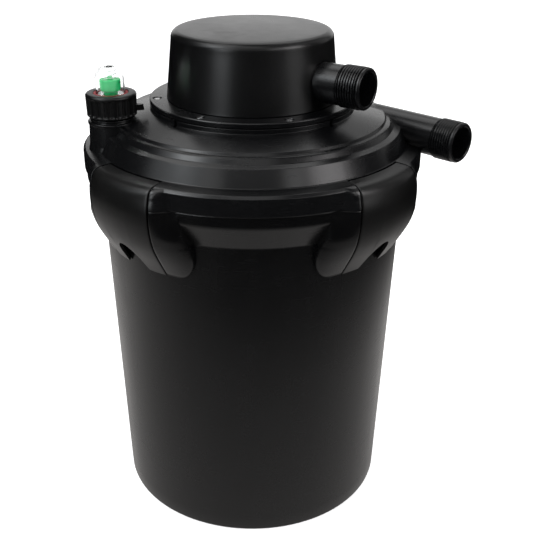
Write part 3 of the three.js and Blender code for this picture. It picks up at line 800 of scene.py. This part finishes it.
def make_media():
    """The bed of loose media: its top and outside are packed short tubes, here as a field of bumps."""
    (x0, _, z0), (x1, _, z1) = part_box("bio_media_bed")
    outer, low, high = (x1 - x0) / 2 / MM, z0 / MM, z1 / MM
    sides = 240
    outline = [(38.6, low + 1.5), (41, low + 0.5)]
    outline += [(41 + (outer - 43) * i / 30, low + 0.5) for i in range(1, 31)]
    outline += [(outer - 1.6, low + 2 + (high - low - 5) * i / 20) for i in range(21)]
    outline += [(outer - 2 - (outer - 43) * i / 44, high - 2.2) for i in range(45)] + [(38.6, high - 2.6)]
    rows = []
    for r, z in outline:
        row = []
        for j in range(sides):
            azimuth = 360 * j / sides
            x, y, _ = polar(r, azimuth, z)
            along, across = x * 0.62 + 1.3 * math.sin(y * 0.31), y * 0.58 + 1.7 * math.sin(x * 0.27)
            bump = math.sin(along) * math.sin(across) * math.cos(z * 0.6)
            if z > high - 3:
                row.append(polar(r, azimuth, z + 1.6 * bump))
            elif r > outer - 3:
                side = math.sin(azimuth * 1.9 + math.sin(z * 0.4)) * math.sin(z * 0.66)
                row.append(polar(r + 1.2 * side - 0.4, azimuth, z))
            else:
                row.append(polar(r, azimuth, z))
        rows.append(row)
    return soften(skin("media_bed", rows, closed=True), 70)


# ---------------------------------------------------------------- materials
class Graph:
    """A short way to write a node tree."""

    def __init__(self, name):
        self.material = bpy.data.materials.new(name)
        self.material.use_nodes = True
        self.tree = self.material.node_tree
        self.tree.nodes.clear()
        self.output = self.add("ShaderNodeOutputMaterial")
        self.shader = self.add("ShaderNodeBsdfPrincipled")
        self.link(self.shader.outputs["BSDF"], self.output.inputs["Surface"])
        self.coordinates = self.add("ShaderNodeTexCoord").outputs["Object"]

    def add(self, kind, **settings):
        node = self.tree.nodes.new(kind)
        for key, value in settings.items():
            setattr(node, key, value)
        return node

    def link(self, source, target):
        self.tree.links.new(source, target)

    def noise(self, scale, detail=4.0, roughness=0.55, stretch=None):
        node = self.add("ShaderNodeTexNoise")
        node.inputs["Scale"].default_value = scale
        node.inputs["Detail"].default_value = detail
        node.inputs["Roughness"].default_value = roughness
        vector = self.coordinates
        if stretch:
            mapping = self.add("ShaderNodeMapping")
            mapping.inputs["Scale"].default_value = stretch
            self.link(self.coordinates, mapping.inputs["Vector"])
            vector = mapping.outputs["Vector"]
        self.link(vector, node.inputs["Vector"])
        return node.outputs["Fac"]

    def remap(self, source, low, high, to_low, to_high):
        node = self.add("ShaderNodeMapRange")
        node.inputs["From Min"].default_value = low
        node.inputs["From Max"].default_value = high
        node.inputs["To Min"].default_value = to_low
        node.inputs["To Max"].default_value = to_high
        self.link(source, node.inputs["Value"])
        return node.outputs["Result"]

    def math(self, operation, first, second):
        node = self.add("ShaderNodeMath", operation=operation)
        for socket, value in zip(node.inputs, (first, second)):
            if isinstance(value, (int, float)):
                socket.default_value = value
            else:
                self.link(value, socket)
        return node.outputs["Value"]

    def mix(self, factor, first, second):
        node = self.add("ShaderNodeMix", data_type="RGBA")
        self.link(factor, node.inputs["Factor"])
        for key, value in (("A", first), ("B", second)):
            socket = [s for s in node.inputs if s.name == key and s.type == "RGBA"][0]
            if isinstance(value, tuple):
                socket.default_value = (*value, 1.0)
            else:
                self.link(value, socket)
        return [s for s in node.outputs if s.type == "RGBA"][0]

    def bump(self, height, distance, strength=1.0):
        node = self.add("ShaderNodeBump")
        node.inputs["Strength"].default_value = strength
        node.inputs["Distance"].default_value = distance
        self.link(height, node.inputs["Height"])
        self.link(node.outputs["Normal"], self.shader.inputs["Normal"])


def black_plastic(name, base, light, roughness, spread, grain, grain_depth, scratch=0.04, specular=0.5):
    """Moulded black plastic: mottled colour, dust in the grain, handling scratches and a fine bump."""
    g = Graph(name)
    cloud = g.noise(9, 5, 0.6)
    speck = g.noise(420, 2, 0.5)
    dust = g.remap(g.math("MULTIPLY", cloud, speck), 0.22, 0.42, 0.0, 1.0)
    g.link(g.mix(dust, base, light), g.shader.inputs["Base Color"])
    streak = g.noise(60, 3, 0.6, stretch=(1.0, 1.0, 0.06))
    hairline = g.remap(g.noise(240, 2, 0.7, stretch=(0.08, 0.08, 1.0)), 0.62, 0.70, 0.0, scratch)
    soft = g.remap(cloud, 0.3, 0.7, roughness - spread, roughness + spread)
    worn = g.math("ADD", soft, hairline)
    g.link(g.math("ADD", worn, g.remap(streak, 0.4, 0.7, 0.0, spread * 0.7)), g.shader.inputs["Roughness"])
    fine = g.noise(grain, 3, 0.6)
    slow = g.remap(g.noise(22, 2, 0.5), 0.0, 1.0, 0.0, 0.5)
    g.bump(g.math("ADD", fine, slow), grain_depth)
    g.shader.inputs["IOR"].default_value = 1.5
    g.shader.inputs["Specular IOR Level"].default_value = specular
    return g.material


def rubber(name, colour):
    g = Graph(name)
    cloud = g.noise(60, 4, 0.6)
    dark, light = tuple(c * 0.7 for c in colour), tuple(c * 1.3 for c in colour)
    g.link(g.mix(cloud, dark, light), g.shader.inputs["Base Color"])
    g.link(g.remap(cloud, 0.3, 0.7, 0.5, 0.75), g.shader.inputs["Roughness"])
    g.bump(g.noise(900, 2, 0.6), 0.00004)
    return g.material


def steel(name):
    g = Graph(name)
    cloud = g.noise(300, 3, 0.6)
    g.link(g.mix(cloud, (0.78, 0.78, 0.79), (0.95, 0.95, 0.95)), g.shader.inputs["Base Color"])
    g.link(g.remap(g.noise(700, 2, 0.6), 0.3, 0.7, 0.2, 0.34), g.shader.inputs["Roughness"])
    g.shader.inputs["Metallic"].default_value = 1.0
    g.bump(g.noise(1500, 2, 0.5), 0.00001)
    return g.material


def green_plastic_with_painted_glow():
    g = Graph("float_green_painted_glow")
    cloud = g.noise(160, 3, 0.6)
    g.link(g.mix(cloud, (0.01, 0.44, 0.12), (0.014, 0.52, 0.15)), g.shader.inputs["Base Color"])
    g.link(g.remap(cloud, 0.3, 0.7, 0.25, 0.4), g.shader.inputs["Roughness"])
    # Painted glow: the emission brightens the float although it is no lamp.
    g.shader.inputs["Emission Color"].default_value = (0.03, 0.5, 0.18, 1.0)
    g.shader.inputs["Emission Strength"].default_value = 0.08
    g.bump(g.noise(500, 2, 0.5), 0.00002)
    return g.material


def clear_plastic(name, tint, roughness):
    g = Graph(name)
    cloud = g.noise(120, 2, 0.5)
    g.link(g.mix(cloud, tint, tuple(min(1.0, c * 1.02) for c in tint)), g.shader.inputs["Base Color"])
    g.link(g.remap(cloud, 0.3, 0.7, roughness, roughness + 0.03), g.shader.inputs["Roughness"])
    g.shader.inputs["Transmission Weight"].default_value = 1.0
    g.shader.inputs["IOR"].default_value = 1.46
    g.bump(g.noise(60, 1, 0.5), 0.00003)
    return g.material


def lamp_glass():
    g = Graph("lamp_glass")
    cloud = g.noise(90, 3, 0.6)
    g.link(g.mix(cloud, (0.78, 0.8, 0.82), (0.86, 0.87, 0.88)), g.shader.inputs["Base Color"])
    g.link(g.remap(cloud, 0.3, 0.7, 0.15, 0.25), g.shader.inputs["Roughness"])
    g.bump(g.noise(400, 2, 0.5), 0.00001)
    return g.material


def foam(name, colour, cells):
    """Open-cell foam: a web of cell walls over pores darkened with painted shade."""
    g = Graph(name)
    cell = g.add("ShaderNodeTexVoronoi", feature="DISTANCE_TO_EDGE")
    cell.inputs["Scale"].default_value = cells
    g.link(g.coordinates, cell.inputs["Vector"])
    wall = g.remap(cell.outputs["Distance"], 0.02, 0.16, 1.0, 0.0)
    tone = g.noise(25, 4, 0.6)
    bright = g.mix(tone, tuple(c * 0.8 for c in colour), tuple(min(1, c * 1.25) for c in colour))
    # Painted shade: the pores between the cell walls are darkened to 0.18 of the foam's colour.
    g.link(g.mix(wall, tuple(c * 0.18 for c in colour), bright), g.shader.inputs["Base Color"])
    g.shader.inputs["Roughness"].default_value = 0.95
    g.shader.inputs["Sheen Weight"].default_value = 0.2
    g.bump(wall, 1.0 / cells * 0.4)
    return g.material


def loose_media():
    g = Graph("loose_media")
    cell = g.add("ShaderNodeTexVoronoi", feature="F1")
    cell.inputs["Scale"].default_value = 95
    g.link(g.coordinates, cell.inputs["Vector"])
    gap_shade_and_height = g.remap(cell.outputs["Distance"], 0.1, 0.6, 0.0, 1.0)
    tone = g.noise(40, 4, 0.6)
    pale = g.mix(tone, (0.5, 0.48, 0.42), (0.68, 0.66, 0.6))
    # Painted shade: each pale piece darkens towards its edges, into the gaps between pieces; the same mask
    # sets the bump height.
    g.link(g.mix(gap_shade_and_height, pale, (0.12, 0.11, 0.1)), g.shader.inputs["Base Color"])
    g.link(g.remap(tone, 0.3, 0.7, 0.5, 0.7), g.shader.inputs["Roughness"])
    g.bump(g.remap(gap_shade_and_height, 0.0, 1.0, 1.0, 0.0), 0.003)
    return g.material


def floor_material():
    """White paper. In reflections it is a table with a pool of light round the object, dim in front."""
    g = Graph("floor_paper")
    cloud = g.noise(3, 3, 0.5)
    g.link(g.mix(cloud, (0.93, 0.93, 0.93), (0.96, 0.96, 0.96)), g.shader.inputs["Base Color"])
    g.shader.inputs["Roughness"].default_value = 0.9
    g.shader.inputs["Specular IOR Level"].default_value = 0.0
    g.shader.inputs["Emission Color"].default_value = (1.0, 1.0, 1.0, 1.0)
    g.shader.inputs["Emission Strength"].default_value = PAPER_GLOW
    distance = g.add("ShaderNodeVectorMath", operation="DISTANCE")
    distance.inputs[1].default_value = (-0.15, 0.02, 0.0)
    g.link(g.coordinates, distance.inputs[0])
    split = g.add("ShaderNodeSeparateXYZ")
    g.link(g.coordinates, split.inputs["Vector"])
    pool = g.remap(distance.outputs["Value"], 0.58, 1.0, TABLE_GLOW, 0.0)
    depth = g.remap(split.outputs["Y"], -0.89, 0.2, 0.0, 1.0)
    glow = g.add("ShaderNodeEmission")
    glow.inputs["Color"].default_value = (1.0, 0.97, 0.95, 1.0)
    g.link(g.math("MULTIPLY", pool, depth), glow.inputs["Strength"])
    path = g.add("ShaderNodeLightPath")
    choose = g.add("ShaderNodeMixShader")
    mirrored = g.math("SUBTRACT", path.outputs["Is Glossy Ray"], path.outputs["Is Transmission Ray"])
    mirrored.node.use_clamp = True
    g.link(mirrored, choose.inputs[0])
    g.link(g.shader.outputs["BSDF"], choose.inputs[1])
    g.link(glow.outputs["Emission"], choose.inputs[2])
    g.link(choose.outputs["Shader"], g.output.inputs["Surface"])
    return g.material


def paint(piece, material):
    """Gives every slot of a piece the material."""
    if piece.type == "MESH" and not piece.data.materials:
        piece.data.materials.append(material)
    for place_ in piece.material_slots:
        place_.link = "OBJECT"
        place_.material = material


# ---------------------------------------------------------------- light
def softbox(name, azimuth, elevation, distance, size, radiance, colour=(1.0, 1.0, 1.0)):
    """A soft rectangular light that faces the object, given by where it stands and how bright it looks."""
    turn, rise = math.radians(azimuth), math.radians(elevation)
    focus = Vector((0, 0, 0.4))
    away = Vector((math.cos(rise) * math.sin(turn), -math.cos(rise) * math.cos(turn), math.sin(rise)))
    data = bpy.data.lights.new(name, "AREA")
    data.shape = "RECTANGLE"
    data.size, data.size_y = size
    data.energy = radiance * math.pi * size[0] * size[1]
    data.color = colour
    light = bpy.data.objects.new(name, data)
    light.location = focus + away * distance
    light.rotation_euler = away.to_track_quat("Z", "Y").to_euler()
    light.visible_camera = False
    scene.collection.objects.link(light)
    return light


SKY_FILL = 0.42  # what the surroundings add to matt surfaces
ROOM_GLOW = 0.016  # how bright the room looks in reflections
PAPER_GLOW = 0.6  # lifts the paper to white
TABLE_GLOW = 0.66  # how bright the lit table looks in reflections


def set_world():
    """White surroundings, that look dark in reflections, as a studio's room does."""
    world = bpy.data.worlds.new("studio")
    scene.world = world
    world.use_nodes = True
    tree = world.node_tree
    tree.nodes.clear()
    output = tree.nodes.new("ShaderNodeOutputWorld")
    background = tree.nodes.new("ShaderNodeBackground")
    path = tree.nodes.new("ShaderNodeLightPath")
    matt = tree.nodes.new("ShaderNodeMix")
    matt.inputs["A"].default_value = 1.0
    matt.inputs["B"].default_value = SKY_FILL
    background.inputs["Color"].default_value = (1.0, 1.0, 1.0, 1.0)
    glossy = tree.nodes.new("ShaderNodeMix")
    glossy.inputs["B"].default_value = ROOM_GLOW
    tree.links.new(path.outputs["Is Diffuse Ray"], matt.inputs["Factor"])
    tree.links.new(matt.outputs["Result"], glossy.inputs["A"])
    mirrored = tree.nodes.new("ShaderNodeMath")
    mirrored.operation = "SUBTRACT"
    mirrored.use_clamp = True
    tree.links.new(path.outputs["Is Glossy Ray"], mirrored.inputs[0])
    tree.links.new(path.outputs["Is Transmission Ray"], mirrored.inputs[1])
    tree.links.new(mirrored.outputs["Value"], glossy.inputs["Factor"])
    tree.links.new(glossy.outputs["Result"], background.inputs["Strength"])
    tree.links.new(background.outputs["Background"], output.inputs["Surface"])


COOL, WARM = (0.93, 0.97, 1.0), (1.0, 0.97, 0.98)
# Softboxes: name, azimuth, elevation, distance, size and how bright each looks.
STUDIO = (
    ("back_low", 175, 8, 4.6, (5.0, 1.5), 1.1),
    ("back_mid", 175, 28, 4.6, (5.0, 1.9), 0.46),
    ("back_top", 175, 55, 4.2, (3.4, 2.2), 1.4),
    ("back_right", 120, 22, 3.6, (1.6, 2.4), 0.4),
    ("left_box", 298, 40, 2.6, (1.7, 1.7), 1.2, COOL),
    ("left_key", 299, 42, 2.6, (0.7, 0.7), 4.6, COOL),
    ("left_high", 280, 62, 2.6, (1.5, 1.5), 1.9),
    ("left_low", 318, 12, 2.6, (0.9, 1.1), 2.8, COOL),
    ("left_front", 329, 34, 2.6, (0.6, 1.2), 1.2),
    ("right_box", 59, 30, 2.6, (1.1, 1.2), 4.1, WARM),
    ("right_top", 90, 55, 3.0, (1.6, 1.4), 0.45),
    ("right_front", 31, 30, 2.6, (0.5, 1.2), 2.0),
    ("right_low", 58, 6, 2.6, (1.1, 0.9), 1.1),
    ("front_mid", 0, 32, 2.6, (1.2, 0.9), 0.3),
    ("front_high", 0, 62, 2.6, (1.2, 1.4), 0.9),
)


def set_light():
    set_world()
    for box in STUDIO:
        softbox(*box)

    size = 8.0
    points = [(-size, -size, -0.0004), (size, -size, -0.0004), (size, size, -0.0004), (-size, size, -0.0004)]
    mesh = bpy.data.meshes.new("floor")
    mesh.from_pydata(points, [], [(0, 1, 2, 3)])
    floor = bpy.data.objects.new("floor", mesh)
    scene.collection.objects.link(floor)
    mesh.materials.append(floor_material())
    scene.view_settings.view_transform = "Standard"


# ---------------------------------------------------------------- assembly
def fit_out(piece, body, slot, material, *nodes):
    """Puts a piece on its body, in place of its CAD nodes, with its material."""
    paint(piece, material)
    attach(piece, body)
    if nodes:
        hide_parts(*nodes)
    return piece


def build():
    gloss = black_plastic(
        "gloss_black", (0.002, 0.0021, 0.0025), (0.0042, 0.0042, 0.0047), 0.25, 0.03, 260, 0.00002
    )
    dome_gloss = black_plastic(
        "dome_black", (0.0018, 0.0018, 0.002), (0.0034, 0.0034, 0.0038), 0.3, 0.03, 300, 0.00002
    )
    satin = black_plastic(
        "satin_black", (0.0012, 0.0012, 0.0014), (0.0024, 0.0024, 0.0027), 0.25, 0.04, 420, 0.00003
    )
    latch_black = black_plastic(
        "latch_black", (0.0022, 0.0021, 0.0021), (0.0042, 0.004, 0.0038), 0.34, 0.04, 700, 0.00004
    )
    nut_black = black_plastic(
        "nut_black", (0.001, 0.001, 0.0011), (0.002, 0.002, 0.0022), 0.36, 0.05, 700, 0.00004
    )
    inner_black = black_plastic(
        "inner_black", (0.02, 0.021, 0.024), (0.04, 0.04, 0.042), 0.45, 0.06, 500, 0.00004
    )
    black_rubber = rubber("seal_black", (0.012, 0.012, 0.012))
    red_rubber = rubber("seal_red", (0.32, 0.025, 0.03))
    bright = steel("bright_steel")
    clear = clear_plastic("cap_clear", (0.97, 0.985, 0.98), 0.02)
    quartz = clear_plastic("quartz_clear", (0.98, 0.99, 1.0), 0.01)

    fit_out(make_tub(), "tub_body", "satin_tub", satin, "tub")
    fit_out(make_lid(), "lid_body", "gloss_lid", gloss, "lid")
    for number, azimuth in enumerate(PODS, 1):
        node = f"latch_cover_{number}"
        fit_out(make_cover(number, azimuth), f"latch_{number}", "satin_latch", latch_black, node)
    fit_out(make_head_body(), "lid_body", "gloss_lid", gloss, "head_body")
    fit_out(make_dome(), "lid_body", "gloss_dome", dome_gloss, "dome_cover")
    for number, azimuth in enumerate(HEAD_SCREWS, 1):
        fit_out(make_screw(number, azimuth), "lid_body", "steel", bright, f"head_screw_{number}")
    fit_out(make_nut(), "indicator_nut_body", "ribbed_nut", nut_black, "indicator_nut")
    fit_out(make_cap(), "lid_body", "clear_cap", clear, "indicator_cap")
    fit_out(make_float(), "indicator_float_body", "green_float", green_plastic_with_painted_glow(), "indicator_float")

    spring = fit_out(make_spring(), "lid_body", "steel", bright, "indicator_spring")
    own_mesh(spring)

    foams = [
        ("foam_coarse", "foam_blue", (0.05, 0.2, 0.45), 190),
        ("foam_medium", "foam_green", (0.06, 0.3, 0.14), 300),
        ("foam_fine", "foam_dark", (0.07, 0.075, 0.09), 430),
    ]
    for number, (node, slot, colour, cells) in enumerate(foams, 1):
        piece = fit_out(make_foam(number, node), "tub_body", slot, foam(node + "_look", colour, cells), node)
    fit_out(make_media(), "tub_body", "bio_media", loose_media(), "bio_media_bed")

    kept = {
        inner_black: [
            "centre_tube", "media_grid_lower", "media_grid_upper", "sleeve_nut", "lamp_holder", "ballast",
        ],
        black_rubber: ["lid_seal", "head_seal", "sleeve_seal", "cable_gland"],
        red_rubber: ["indicator_seal"],
        bright: [f"latch_pin_{k}" for k in range(1, 5)],
        quartz: ["quartz_sleeve"],
        lamp_glass(): ["uv_lamp"],
    }
    for material, names in kept.items():
        for name in names:
            paint(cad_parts[name], material)


set_camera()
set_light()
build()
